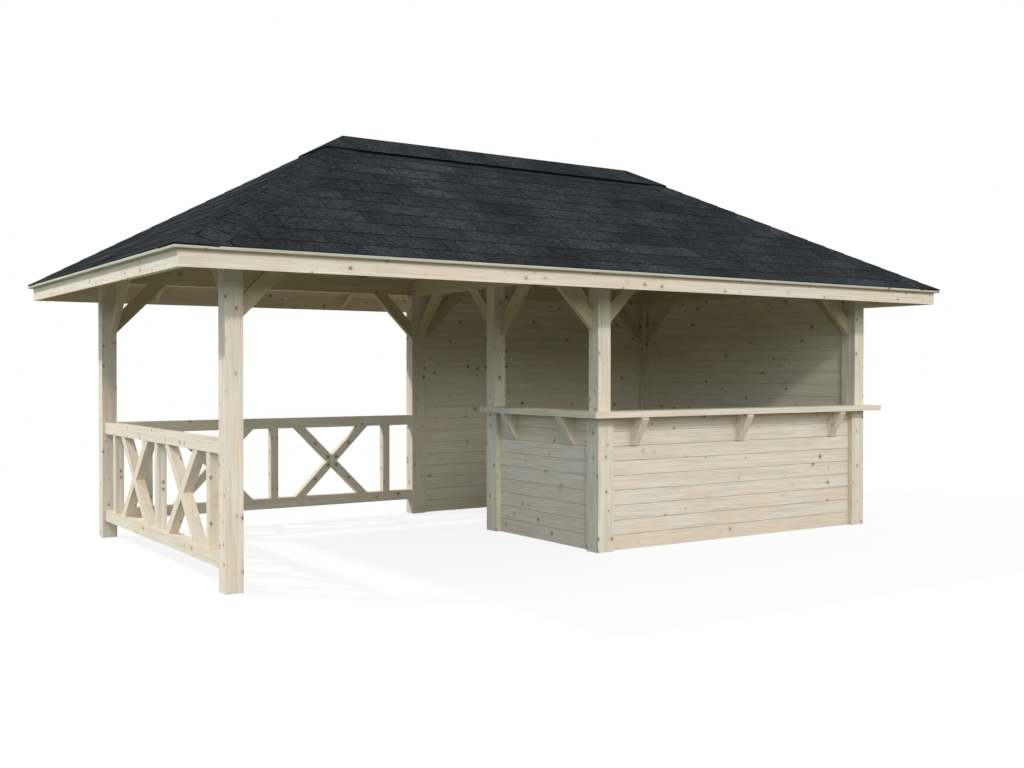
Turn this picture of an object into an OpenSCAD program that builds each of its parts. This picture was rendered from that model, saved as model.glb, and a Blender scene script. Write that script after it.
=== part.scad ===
// Garden gazebo of two bays under one hipped roof: an open seating bay with
// crossed balustrades on the left, and a boarded bar with a counter on the right.
// X runs along the front, Y to the back and Z up. The origin is on the ground at
// the middle of the plan. The front middle post stands at X = 0.

/* [Plan] */
// Distance between the post lines along the front, one bay
bay = 2980; // [2600:10:3600]
// Distance between the front and the back post line
depth = 2980; // [2600:10:3400]

/* [Frame] */
// Side of the square posts
post_w = 120; // [95:1:160]
// Height of the posts, from the ground to the beams
post_h = 2160; // [1900:10:2600]
// Height of the beams on the posts
beam_h = 150; // [120:1:220]
// Width of a knee brace across its face
brace_w = 103; // [70:1:120]
// Thickness of a knee brace
brace_t = 45; // [28:1:46]
// Length of a knee brace's lower edge, measured along the post or the beam
brace_leg = 424; // [250:1:550]

/* [Walls] */
// Thickness of the boarded walls
wall_t = 28; // [19:1:40]
// Width of the upright battens that hold the ends of the boards
batten_w = 33; // [20:1:50]
// Thickness of the upright battens
batten_t = 44; // [20:1:45]

/* [Bar] */
// Height of the bar's boarded walls
bar_h = 1052; // [900:1:1150]
// Thickness of the counter
counter_t = 47; // [28:1:60]
// Reach of the counter beyond the outer faces of the posts
counter_out = 110; // [60:1:200]
// Thickness of a counter bracket
bracket_t = 70; // [28:1:90]
// Height of a counter bracket
bracket_h = 230; // [150:1:320]
// Height of the square-cut toes of a counter bracket
bracket_toe = 20; // [5:1:40]
// Distance from the counter's edge back to the tip of a bracket
bracket_set = 10; // [0:1:40]
// Distance from a post's centre to the centre of the next bracket
bracket_inset = 335; // [200:1:500]

/* [Balustrades] */
// Height of the top rail's upper face
rail_top = 977; // [850:1:1100]
// Height of the lower rail's underside
rail_low = 144; // [60:1:200]
// Height of a rail
rail_h = 95; // [70:1:120]
// Depth of a rail
rail_d = 80; // [72:1:94]
// Side of the square balusters and of the crossed bars
baluster_w = 70; // [45:1:72]
// Distance between the middle baluster and the outer ones
baluster_pitch = 1155; // [900:1:1160]

/* [Roof] */
// Slope of the roof in degrees
pitch = 30; // [22:0.5:38]
// Reach of the eaves beyond the outer faces of the posts
eave_out = 472; // [300:1:600]
// Distance from the edge of the roof in to the face of the fascia
fascia_set = 37.5; // [10:0.5:80]
// Thickness of the fascia boards
fascia_t = 20; // [15:1:35]
// Height of a fascia's outer face
fascia_h = 121; // [80:1:180]
// Thickness of the roof boards
deck_t = 19; // [15:1:28]
// Thickness of the shingles
shingle_t = 6; // [4:1:10]
// Width of the rafters, the hip rafters and the ridge board
rafter_w = 45; // [35:1:60]
// Height of a rafter
rafter_h = 95; // [80:1:145]
// Distance between the rafters of one bay
rafter_pitch = 935; // [600:1:1000]
// Upright depth of the seat that a rafter has over its beam
rafter_seat = 28; // [10:1:45]
// Height of a hip rafter
hip_h = 120; // [110:1:160]
// Height of the ridge board
ridge_h = 145; // [120:1:220]
// Reach of the ridge cap on each side of the ridge, in plan
cap_out = 270; // [150:1:400]
// Thickness of the ridge cap
cap_t = 12; // [6:1:25]

/* [Hidden] */

// Overrun of every cut
over = 10;

wood = "BurlyWood";
pale_wood = "Wheat";
slate_grey = "DarkSlateGray";

// Diagonal of a unit square
diagonal_share = sqrt(2);

// Post lines and faces
half_depth = depth / 2;
post_half = post_w / 2;
recess = (post_w - wall_t) / 2;
brace_set = (post_w - brace_t) / 2;
beam_top = post_h + beam_h;

// Roof planes: every height is taken at the edge of the roof and rises by
// rise_share for each unit of inset
rise_share = tan(pitch);
plumb_share = 1 / cos(pitch);
half_len = bay + post_half + eave_out;
half_wid = half_depth + post_half + eave_out;
ridge_half = half_len - half_wid;
rafter_v = rafter_h * plumb_share;
deck_z = beam_top - rafter_seat + rafter_v - eave_out * rise_share;
shingle_z = deck_z + deck_t * plumb_share;
cap_z = shingle_z + shingle_t * plumb_share;
fascia_in = fascia_set + fascia_t;
hip_pitch = atan(rise_share / diagonal_share);
hip_v = hip_h / cos(hip_pitch);
hip_run = half_wid * diagonal_share;
sky = cap_z + half_wid + over;

// Places of the rafters: those of the ends meet those of the long sides at the hips
bay_shares = [-1, 0, 1];
end_pitch = rafter_pitch + half_depth - bay / 2;
long_places = [for (side = [-1, 1], k = bay_shares) side * bay / 2 + k * rafter_pitch];
end_places = [for (k = bay_shares) k * end_pitch];

// Counter outline
counter_x = -post_half - counter_out;
counter_y = -half_depth - post_half - counter_out;
counter_back = -half_depth + post_half;
counter_end = bay + post_half + counter_out;
bracket_reach = recess + counter_out - bracket_set;

// Frame

module post(x, y) {
    color(wood)
        translate([x - post_half, y - post_half, 0])
            cube([post_w, post_w, post_h]);
}

module long_beam(y) {
    color(wood)
        translate([-bay - post_half, y - post_half, post_h])
            cube([2 * bay + post_w, post_w, beam_h]);
}

module cross_beam(x) {
    color(wood)
        translate([x - post_half, -half_depth + post_half, post_h])
            cube([post_w, depth - post_w, beam_h]);
}

// Knee brace that leaves the post at x, y in the direction turn, set to one side
// of the post's centre line, with its foot at a distance from the post's centre
module brace(x, y, turn, aside, foot = post_half) {
    inner = brace_leg - brace_w * diagonal_share;
    color(wood)
        translate([x, y, post_h])
            rotate([0, 0, turn])
                translate([foot, aside, 0])
                    rotate([90, 0, 0])
                        linear_extrude(brace_t, center = true)
                            polygon([[0, -brace_leg], [brace_leg, 0], [inner, 0], [0, -inner]]);
}

// Knee brace flush with the post's face on the side that hand gives
module post_brace(x, y, turn, hand) {
    brace(x, y, turn, hand * brace_set);
}

// Knee brace on the inner side of a boarded wall, with its foot on a batten
module wall_brace(x, y, turn, hand) {
    brace(x, y, turn, hand * (wall_t + brace_t) / 2, post_half + batten_w);
}

module braces_front() {
    post_brace(-bay, -half_depth, 0, 1);
    post_brace(0, -half_depth, 180, -1);
    post_brace(0, -half_depth, 0, 1);
    post_brace(bay, -half_depth, 180, -1);
}

module braces_back() {
    post_brace(-bay, half_depth, 0, -1);
    post_brace(0, half_depth, 180, 1);
    wall_brace(0, half_depth, 0, -1);
    wall_brace(bay, half_depth, 180, 1);
}

module braces_left() {
    post_brace(-bay, -half_depth, 90, -1);
    post_brace(-bay, half_depth, -90, 1);
}

module braces_right() {
    wall_brace(bay, -half_depth, 90, 1);
    wall_brace(bay, half_depth, -90, -1);
}

module braces_middle() {
    post_brace(0, -half_depth, 90, -1);
    post_brace(0, 0, -90, 1);
    post_brace(0, 0, 90, -1);
    post_brace(0, half_depth, -90, 1);
}

// Walls

// Boarded wall from one post centre to the next, in the direction turn
module boarded_wall(x, y, turn, span, height) {
    color(pale_wood)
        translate([x, y, 0])
            rotate([0, 0, turn])
                translate([post_half, -wall_t / 2, 0])
                    cube([span - post_w, wall_t, height]);
}

// Upright battens on both sides of a wall at both of its ends
module end_battens(x, y, turn, span, height) {
    color(wood)
        translate([x, y, 0])
            rotate([0, 0, turn])
                for (along = [post_half, span - post_half - batten_w], across = [wall_t / 2, -wall_t / 2 - batten_t])
                    translate([along, across, 0])
                        cube([batten_w, batten_t, height]);
}

module wall_battens() {
    end_battens(0, half_depth, 0, bay, post_h);
    end_battens(bay, -half_depth, 90, depth, post_h);
    end_battens(0, -half_depth, 0, bay, bar_h);
    end_battens(0, -half_depth, 90, half_depth, bar_h);
}

// Bar

// Board of the counter, cut round the posts
module counter(outline) {
    color(pale_wood)
        translate([0, 0, bar_h])
            linear_extrude(counter_t)
                difference() {
                    polygon(outline);
                    for (place = [[0, -half_depth], [bay, -half_depth], [0, 0]])
                        translate(place)
                            square(post_w, center = true);
                }
}

module counter_front() {
    counter([
        [counter_x, counter_y], [counter_end, counter_y],
        [counter_end, counter_back], [post_half, counter_back]
    ]);
}

module counter_side() {
    counter([[counter_x, counter_y], [post_half, counter_back], [post_half, 0], [counter_x, 0]]);
}

// Triangular bracket on the face of a bar wall, reaching out in the direction turn
module bracket(x, y, turn) {
    color(wood)
        translate([x, y, bar_h])
            rotate([0, 0, turn])
                translate([wall_t / 2, 0, 0])
                    rotate([90, 0, 0])
                        linear_extrude(bracket_t, center = true)
                            polygon([
                                [0, 0], [bracket_reach, 0], [bracket_reach, -bracket_toe],
                                [bracket_toe, -bracket_h], [0, -bracket_h]
                            ]);
}

module counter_brackets() {
    for (x = [bracket_inset, bay / 2, bay - bracket_inset])
        bracket(x, -half_depth, -90);
    for (y = [-half_depth + bracket_inset, -bracket_inset])
        bracket(0, y, 180);
}

// Balustrades

// Two rails of a balustrade, centred on the origin and running along X
module rails(span) {
    color(wood)
        for (z = [rail_low, rail_top - rail_h])
            translate([-span / 2, -rail_d / 2, z])
                cube([span, rail_d, rail_h]);
}

// Three balusters and two crosses between the rails, the crosses half lapped
module infill() {
    low = rail_low + rail_h;
    high = rail_top - rail_h;
    color(wood) {
        for (k = bay_shares)
            translate([k * baluster_pitch - baluster_w / 2, -baluster_w / 2, low])
                cube([baluster_w, baluster_w, high - low]);
        for (side = [-1, 1])
            translate([side * baluster_pitch / 2, 0, (low + high) / 2])
                intersection() {
                    for (lean = [-1, 1])
                        rotate([0, lean * 45, 0])
                            cube([baluster_w, baluster_w, 2 * (high - low)], center = true);
                    cube([baluster_pitch, rail_d, high - low], center = true);
                }
    }
}

module on_left() {
    translate([-bay, 0, 0])
        rotate([0, 0, 90])
            children();
}

module on_back() {
    translate([-bay / 2, half_depth, 0])
        children();
}

// Roof

// Runs a profile of insets and heights along one eave and mitres it at the hips
module front_run() {
    intersection() {
        translate([-half_len - over, -half_wid, 0])
            rotate([90, 0, 90])
                linear_extrude(2 * (half_len + over))
                    children();
        linear_extrude(sky)
            polygon([
                [-half_len - over, -half_wid - over], [half_len + over, -half_wid - over],
                [ridge_half, 0], [-ridge_half, 0]
            ]);
    }
}

module left_run() {
    intersection() {
        translate([-half_len, half_wid + over, 0])
            rotate([90, 0, 0])
                linear_extrude(2 * (half_wid + over))
                    children();
        linear_extrude(sky)
            polygon([
                [-half_len - over, -half_wid - over], [-ridge_half, 0],
                [-half_len - over, half_wid + over]
            ]);
    }
}

module along_eave(side) {
    if (side == "front") front_run() children();
    if (side == "back") mirror([0, 1, 0]) front_run() children();
    if (side == "left") left_run() children();
    if (side == "right") mirror([1, 0, 0]) left_run() children();
}

// Sloping layer with upright edges, from the height low at the eave
module roof_layer(side, low, thick) {
    run = half_wid + over;
    top = low + thick * plumb_share;
    along_eave(side)
        polygon([[0, low], [run, low + run * rise_share], [run, top + run * rise_share], [0, top]]);
}

module deck(side) {
    color(pale_wood)
        roof_layer(side, deck_z, deck_t);
}

module shingles(side) {
    color(slate_grey)
        roof_layer(side, shingle_z, shingle_t);
}

// Fascia with its top edge bevelled to the underside of the roof boards
module fascia(side) {
    low = deck_z + fascia_set * rise_share - fascia_h;
    color(wood)
        along_eave(side)
            polygon([
                [fascia_set, low], [fascia_in, low],
                [fascia_in, deck_z + fascia_in * rise_share], [fascia_set, deck_z + fascia_set * rise_share]
            ]);
}

// Body under a hipped surface that reaches out from the ridge on all sides
module hip_body(reach, low, high) {
    end = ridge_half + reach;
    ridge = high + reach * rise_share;
    intersection() {
        translate([-end, 0, 0])
            rotate([90, 0, 90])
                linear_extrude(2 * end)
                    polygon([[-reach, low], [reach, low], [reach, high], [0, ridge], [-reach, high]]);
        translate([0, reach, 0])
            rotate([90, 0, 0])
                linear_extrude(2 * reach)
                    polygon([
                        [-end, low], [end, low], [end, high],
                        [ridge_half, ridge], [-ridge_half, ridge], [-end, high]
                    ]);
    }
}

module ridge_cap() {
    edge = cap_z + (half_wid - cap_out) * rise_share;
    color(slate_grey)
        difference() {
            hip_body(cap_out, edge, edge + cap_t * plumb_share);
            hip_body(cap_out + over, edge - over, edge - over * rise_share);
        }
}

module ridge_board() {
    peak = deck_z + half_wid * rise_share;
    shoulder = peak - rafter_w / 2 * rise_share;
    color(wood)
        translate([-ridge_half, 0, 0])
            rotate([90, 0, 90])
                linear_extrude(2 * ridge_half)
                    polygon([
                        [-rafter_w / 2, peak - ridge_h], [rafter_w / 2, peak - ridge_h],
                        [rafter_w / 2, shoulder], [0, peak], [-rafter_w / 2, shoulder]
                    ]);
}

// Plank under the front left hip, from the corner of the roof to the ridge
module hip_plank() {
    peak = deck_z + half_wid * rise_share;
    translate([-half_len, -half_wid, 0])
        rotate([0, 0, 45])
            rotate([90, 0, 0])
                linear_extrude(rafter_w, center = true)
                    polygon([[0, deck_z - hip_v], [hip_run, peak - hip_v], [hip_run, peak], [0, deck_z]]);
}

module all_hips() {
    for (x = [0, 1], y = [0, 1])
        mirror([x, 0, 0])
            mirror([0, y, 0])
                children();
}

// Hip rafter with a backed top, seated on the corner of the beams
module hip_rafters() {
    reach = half_wid - fascia_in;
    color(wood)
        all_hips()
            difference() {
                intersection() {
                    hip_plank();
                    hip_body(reach, deck_z - hip_v, deck_z + fascia_in * rise_share);
                    translate([-half_len, -half_wid, 0])
                        cube([half_len, half_wid - rafter_w / 2, sky]);
                }
                long_beam(-half_depth);
                cross_beam(-bay);
            }
}

// Rafter profile from the fascia up to an inset, with its seat over the beam
module rafter_profile(upper) {
    foot = deck_z + fascia_in * rise_share;
    head = deck_z + upper * rise_share;
    difference() {
        polygon([[fascia_in, foot - rafter_v], [upper, head - rafter_v], [upper, head], [fascia_in, foot]]);
        translate([eave_out, post_h])
            square([post_w, beam_h]);
    }
}

module long_rafters() {
    color(wood)
        for (side = [0, 1])
            mirror([0, side, 0])
                difference() {
                    intersection() {
                        for (x = long_places)
                            translate([x, -half_wid, 0])
                                rotate([90, 0, 90])
                                    linear_extrude(rafter_w, center = true)
                                        rafter_profile(half_wid - rafter_w / 2);
                        linear_extrude(sky)
                            polygon([
                                [-half_len, -half_wid], [half_len, -half_wid],
                                [ridge_half, 0], [-ridge_half, 0]
                            ]);
                    }
                    for (x = [0, 1])
                        mirror([x, 0, 0])
                            hip_plank();
                }
}

module end_rafters() {
    color(wood)
        for (side = [0, 1])
            mirror([side, 0, 0])
                difference() {
                    intersection() {
                        for (y = end_places)
                            translate([-half_len, y, 0])
                                rotate([90, 0, 0])
                                    linear_extrude(rafter_w, center = true)
                                        rafter_profile(half_wid);
                        linear_extrude(sky)
                            union() {
                                polygon([[-half_len, -half_wid], [-ridge_half, 0], [-half_len, half_wid]]);
                                translate([-half_len, -rafter_w / 2])
                                    square([half_wid, rafter_w]);
                            }
                    }
                    for (y = [0, 1])
                        mirror([0, y, 0])
                            intersection() {
                                hip_plank();
                                translate([-half_len, -half_wid, 0])
                                    cube([half_len, half_wid - rafter_w / 2, sky]);
                            }
                }
}

post(-bay, -half_depth);  // post_front_left
post(0, -half_depth);  // post_front_middle
post(bay, -half_depth);  // post_front_right
post(-bay, half_depth);  // post_back_left
post(0, half_depth);  // post_back_middle
post(bay, half_depth);  // post_back_right
post(0, 0);  // post_bar
long_beam(-half_depth);  // beam_front
long_beam(half_depth);  // beam_back
cross_beam(-bay);  // beam_left
cross_beam(bay);  // beam_right
cross_beam(0);  // beam_middle
braces_front();
braces_back();
braces_left();
braces_right();
braces_middle();
boarded_wall(0, half_depth, 0, bay, post_h);  // wall_back
boarded_wall(bay, -half_depth, 90, depth, post_h);  // wall_right
boarded_wall(0, -half_depth, 0, bay, bar_h);  // bar_wall_front
boarded_wall(0, -half_depth, 90, half_depth, bar_h);  // bar_wall_side
wall_battens();
counter_front();
counter_side();
counter_brackets();
on_left() rails(depth - post_w);  // left_rails
on_left() infill();  // left_infill
on_back() rails(bay - post_w);  // back_rails
on_back() infill();  // back_infill
ridge_board();
hip_rafters();
long_rafters();
end_rafters();
deck("front");  // deck_front
deck("back");  // deck_back
deck("left");  // deck_left
deck("right");  // deck_right
fascia("front");  // fascia_front
fascia("back");  // fascia_back
fascia("left");  // fascia_left
fascia("right");  // fascia_right
shingles("front");  // shingles_front
shingles("back");  // shingles_back
shingles("left");  // shingles_left
shingles("right");  // shingles_right
ridge_cap();
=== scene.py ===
"""Dresses the garden gazebo: raw spruce frame, boarded bar, hipped roof of bitumen shingles."""

import logging
import math
import random
from dataclasses import dataclass, field
from enum import Enum
from functools import partial, reduce
from typing import Callable, Sequence

import bpy
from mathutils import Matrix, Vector


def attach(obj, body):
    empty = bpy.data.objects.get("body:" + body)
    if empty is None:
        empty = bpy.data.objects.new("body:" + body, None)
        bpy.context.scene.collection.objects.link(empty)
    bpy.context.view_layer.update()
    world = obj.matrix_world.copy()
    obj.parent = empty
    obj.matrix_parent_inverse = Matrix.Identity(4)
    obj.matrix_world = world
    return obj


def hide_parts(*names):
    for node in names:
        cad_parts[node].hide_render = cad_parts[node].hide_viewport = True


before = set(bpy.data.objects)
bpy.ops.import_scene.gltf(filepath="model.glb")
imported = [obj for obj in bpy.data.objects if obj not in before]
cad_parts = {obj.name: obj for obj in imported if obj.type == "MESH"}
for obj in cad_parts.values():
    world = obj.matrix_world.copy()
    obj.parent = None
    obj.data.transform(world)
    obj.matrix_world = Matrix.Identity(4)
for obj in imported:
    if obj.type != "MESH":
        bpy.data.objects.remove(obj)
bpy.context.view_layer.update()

LOG = logging.getLogger("gazebo")

Colour = tuple[float, float, float]
Triple = tuple[float, float, float]
Span = tuple[float, float]
Height = Callable[[float, float], float]

# Sizes of the solids, in metres.
ROOF_PITCH = math.radians(30.0)
RISE = math.tan(ROOF_PITCH)
PLUMB = 1.0 / math.cos(ROOF_PITCH)
DIAGONAL = math.sqrt(0.5)
HIP_SLOPE = math.atan(RISE * DIAGONAL)
HALF_LENGTH = 3.512
HALF_WIDTH = 2.022
DECK_UNDERSIDE = 2.1192
BAY = 2.98
HALF_BAY = BAY / 2
POST_HALF = 0.06
WALL_HEIGHT = 2.16
BAR_HEIGHT = 1.052
CROSS_RISE = 0.643
CROSS_RUN = 0.62
CROSS_CENTRE = 0.5775
CROSS_LEVEL = 0.5605
CROSS_REACH = 0.541

# Way of a hip across a slope, as shares of the way along the eave and of the way up.
HIP_RUN = 1.0 / math.hypot(1.0, PLUMB)
HIP_RISE = PLUMB * HIP_RUN

# Lengths taken as nothing, farthest shifts of a pattern and the two ways along an eave.
HAIR = 1e-4
SAME_POINT = 1e-5
BOARD_SHIFT = 40.0
SHINGLE_SHIFT = 30.0
WAYS = (-1.0, 1.0)

# Material places of a shingle.
FACE_PLACE = 0
# dark bitumen of the cut edges, also painted shade where the sheet shows in the slots
CUT_EDGE_AND_SLOT_SHADE_PLACE = 1
# near-black painted shadow under the raised ridge cap and in the hip caps' slits
PAINTED_SHADOW_PLACE = 2


class Grain(Enum):
    """Way the fibres of a timber run."""

    ALONG_X = "x"
    ALONG_Y = "y"
    ALONG_Z = "z"
    LONG_BRACE = "braces of the front and back"
    END_BRACE = "braces of the left and right"
    MIDDLE_BRACE = "braces of the cross line"
    LEFT_CROSS = "crosses of the left balustrade"
    BACK_CROSS = "crosses of the back balustrade"
    LONG_RAFTER = "rafters of the front and back"
    END_RAFTER = "rafters of the left and right"
    HIP_RAFTER = "rafters under the hips"
    BOARD = "boards with their own measure"


Groups = tuple[tuple[Grain, tuple[str, ...]], ...]


class Side(Enum):
    """Slope of the roof, by the side it faces."""

    FRONT = "front"
    BACK = "back"
    LEFT = "left"
    RIGHT = "right"


class NodeDesk:
    """Lays out the nodes of a material or of the world."""

    def __init__(self, tree: bpy.types.NodeTree) -> None:
        """Takes the tree that the nodes go into."""
        self.tree = tree

    def put(self, kind: str, values: dict | None = None, **settings: object) -> bpy.types.Node:
        """Adds a node.

        Args:
            kind: the node's type without the ShaderNode prefix.
            values: sockets by name or place, each with a number, a colour or a socket to link.
            settings: the node's own properties.

        Returns:
            The new node.
        """
        node = self.tree.nodes.new("ShaderNode" + kind)
        for key, value in settings.items():
            setattr(node, key, value)
        for key, value in (values or {}).items():
            self.feed(node.inputs[key], value)
        return node

    def feed(self, socket: bpy.types.NodeSocket, value: object) -> None:
        """Links a socket or sets its number or colour.

        Args:
            socket: the input to fill.
            value: an output socket, a number or a colour.
        """
        if isinstance(value, bpy.types.NodeSocket):
            self.tree.links.new(value, socket)
        elif isinstance(value, tuple) and socket.type == "RGBA":
            socket.default_value = (*value, 1.0)
        else:
            socket.default_value = value

    def calc(self, operation: str, *values: object) -> bpy.types.NodeSocket:
        """Does one sum on numbers or sockets."""
        return self.put("Math", dict(enumerate(values)), operation=operation).outputs[0]

    def between(self, value: object, span: Span) -> bpy.types.NodeSocket:
        """Turns a number from 0 to 1 into one between the ends of a span."""
        return self.calc("MULTIPLY_ADD", value, span[1] - span[0], span[0])

    def ease(self, value: object, low: float, high: float) -> bpy.types.NodeSocket:
        """Turns a number into a soft step from 0 at low to 1 at high."""
        places = {"Value": value, "From Min": low, "From Max": high}
        return self.put("MapRange", places, interpolation_type="SMOOTHSTEP").outputs[0]

    def blend(
        self, share: object, first: object, second: object, mode: str = "MIX",
    ) -> bpy.types.NodeSocket:
        """Mixes two colours, with a share of the second."""
        node = self.put("Mix", {0: share, 6: first, 7: second}, data_type="RGBA", blend_type=mode)
        return node.outputs[2]

    def dimmed(self, colour: object, shade: object) -> bpy.types.NodeSocket:
        """Multiplies a colour by a number."""
        return self.blend(1.0, colour, self.vector(shade, shade, shade), "MULTIPLY")

    def choose(self, share: object, first: object, second: object) -> bpy.types.NodeSocket:
        """Takes the first number, or the second where the share is 1."""
        return self.put("Mix", {0: share, 2: first, 3: second}).outputs[0]

    def vector(self, x: object, y: object, z: object) -> bpy.types.NodeSocket:
        """Joins three numbers into a vector."""
        return self.put("CombineXYZ", {0: x, 1: y, 2: z}).outputs[0]

    def stretched(self, parts: Sequence[object], scales: Triple) -> bpy.types.NodeSocket:
        """Joins three measures into a vector, each times its own scale."""
        return self.vector(*[self.calc("MULTIPLY", p, scale) for p, scale in zip(parts, scales)])

    def noise(
        self, place: object, scale: float, detail: float, roughness: float = 0.5,
    ) -> bpy.types.NodeSocket:
        """Reads cloudy noise at a place, from 0 to 1, with finer layers by its detail."""
        sockets = {"Vector": place, "Scale": scale, "Detail": detail, "Roughness": roughness}
        return self.put("TexNoise", sockets).outputs["Fac"]

    def spots(self, place: object, scale: float) -> bpy.types.Node:
        """Adds a cell pattern and returns its node."""
        return self.put("TexVoronoi", {"Vector": place, "Scale": scale})

    def attribute(self, name: str) -> bpy.types.Node:
        """Reads a named attribute of the mesh and returns the node."""
        return self.put("Attribute", attribute_name=name)

    def seen(self) -> bpy.types.NodeSocket:
        """Tells whether a ray comes from the camera, a gloss or a glass.

        Returns:
            The socket with the answer, 1 or 0.
        """
        path = self.put("LightPath").outputs
        seen = self.calc("MAXIMUM", path["Is Camera Ray"], path["Is Glossy Ray"])
        return self.calc("MAXIMUM", seen, path["Is Transmission Ray"])


class MaterialDesk(NodeDesk):
    """Lays out the nodes of one material round its shader."""

    def __init__(self, name: str) -> None:
        """Starts a material with its shader.

        Args:
            name: the material's name.
        """
        self.material = bpy.data.materials.new(name)
        self.material.use_nodes = True
        super().__init__(self.material.node_tree)
        self.shader = self.tree.nodes["Principled BSDF"]

    def dress(self, colour: object, roughness: object, gloss: float) -> None:
        """Gives the shader its look.

        Args:
            colour: a colour or socket.
            roughness: a number or socket.
            gloss: how much the face mirrors.
        """
        values = {"Base Color": colour, "Roughness": roughness, "Specular IOR Level": gloss}
        for name, value in values.items():
            self.feed(self.shader.inputs[name], value)

    def emboss(self, height: object, strength: float, distance: float) -> None:
        """Gives the shader a bump from a height."""
        bump = self.put("Bump", {"Strength": strength, "Distance": distance, "Height": height})
        self.feed(self.shader.inputs["Normal"], bump.outputs[0])


@dataclass(frozen=True)
class GrainRule:
    """How the measure along the fibres follows from a place in the part's frame."""

    axis: int = 0
    fold: float | None = None
    run: float = 1.0
    rise: float = 0.0
    middle: float | None = None
    origin: float = 0.0
    upright_beyond: float | None = None
    diagonal: bool = False

    def measure(self, desk: NodeDesk) -> list[bpy.types.NodeSocket]:
        """Works out the measures along the fibres, across them and into the timber.

        Args:
            desk: the material's nodes.

        Returns:
            Three sockets, in metres.
        """
        place = desk.put("TexCoord").outputs["Object"]
        parts = desk.put("SeparateXYZ", {0: place}).outputs
        level, depth, height = parts[self.axis], parts[1 - self.axis], parts[2]
        if self.diagonal:
            far, wide = (desk.calc("ABSOLUTE", parts[k]) for k in (0, 1))
            level = desk.calc("MULTIPLY", desk.calc("ADD", far, wide), DIAGONAL)
            depth = desk.calc("MULTIPLY", desk.calc("SUBTRACT", far, wide), DIAGONAL)
        if self.fold is not None:
            level = desk.calc("ABSOLUTE", desk.calc("SUBTRACT", level, self.origin))
            level = desk.calc("ABSOLUTE", desk.calc("SUBTRACT", level, self.fold))
        if self.middle is not None:
            height = desk.calc("ABSOLUTE", desk.calc("SUBTRACT", height, self.middle))
        along = desk.calc("MULTIPLY_ADD", level, self.run, desk.calc("MULTIPLY", height, self.rise))
        across = desk.calc(
            "MULTIPLY_ADD", level, -self.rise, desk.calc("MULTIPLY", height, self.run))
        if self.upright_beyond is not None:
            upright = desk.calc("GREATER_THAN", level, self.upright_beyond)
            along = desk.choose(upright, along, height)
            across = desk.choose(upright, across, level)
        return [along, across, depth]

    @classmethod
    def sloping(cls, axis: int, fold: float, slope: float, diagonal: bool = False) -> "GrainRule":
        """Makes the rule of timbers that rise towards a fold."""
        return cls(axis, fold, -math.cos(slope), math.sin(slope), diagonal=diagonal)

    @classmethod
    def crossed(cls, axis: int, origin: float) -> "GrainRule":
        """Makes the rule of a balustrade's crosses, with upright balusters beyond them."""
        slope = math.atan2(CROSS_RISE, CROSS_RUN)
        return cls(
            axis, CROSS_CENTRE, math.cos(slope), math.sin(slope), CROSS_LEVEL, origin, CROSS_REACH)


GRAIN_RULES = {
    Grain.ALONG_X: GrainRule(0),
    Grain.ALONG_Y: GrainRule(1),
    Grain.ALONG_Z: GrainRule(0, run=0.0, rise=1.0),
    Grain.LONG_BRACE: GrainRule(0, HALF_BAY, -DIAGONAL, DIAGONAL),
    Grain.END_BRACE: GrainRule(1, 0.0, -DIAGONAL, DIAGONAL),
    Grain.MIDDLE_BRACE: GrainRule(1, HALF_BAY / 2, -DIAGONAL, DIAGONAL),
    Grain.LEFT_CROSS: GrainRule.crossed(1, 0.0),
    Grain.BACK_CROSS: GrainRule.crossed(0, -HALF_BAY),
    Grain.LONG_RAFTER: GrainRule.sloping(1, 0.0, ROOF_PITCH),
    Grain.END_RAFTER: GrainRule.sloping(0, 0.0, ROOF_PITCH),
    Grain.HIP_RAFTER: GrainRule.sloping(0, 0.0, HIP_SLOPE, diagonal=True),
}


@dataclass(frozen=True)
class Layer:
    """Noise that lays a second colour over a face.

    The stretch is how fine it is along each of the three measures. The colour begins to show
    where the noise is at start, and has its whole share where it is at full.
    """

    stretch: Triple
    detail: float
    start: float
    full: float
    share: float
    roughness: float = 0.5

    def cover(self, desk: NodeDesk, measure: Sequence[object]) -> bpy.types.NodeSocket:
        """Works out how much of the second colour shows, from 0 to 1."""
        streaks = desk.noise(
            desk.stretched(measure, self.stretch), 1.0, self.detail, self.roughness)
        return desk.calc("MULTIPLY", desk.ease(streaks, self.start, self.full), self.share)


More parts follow.
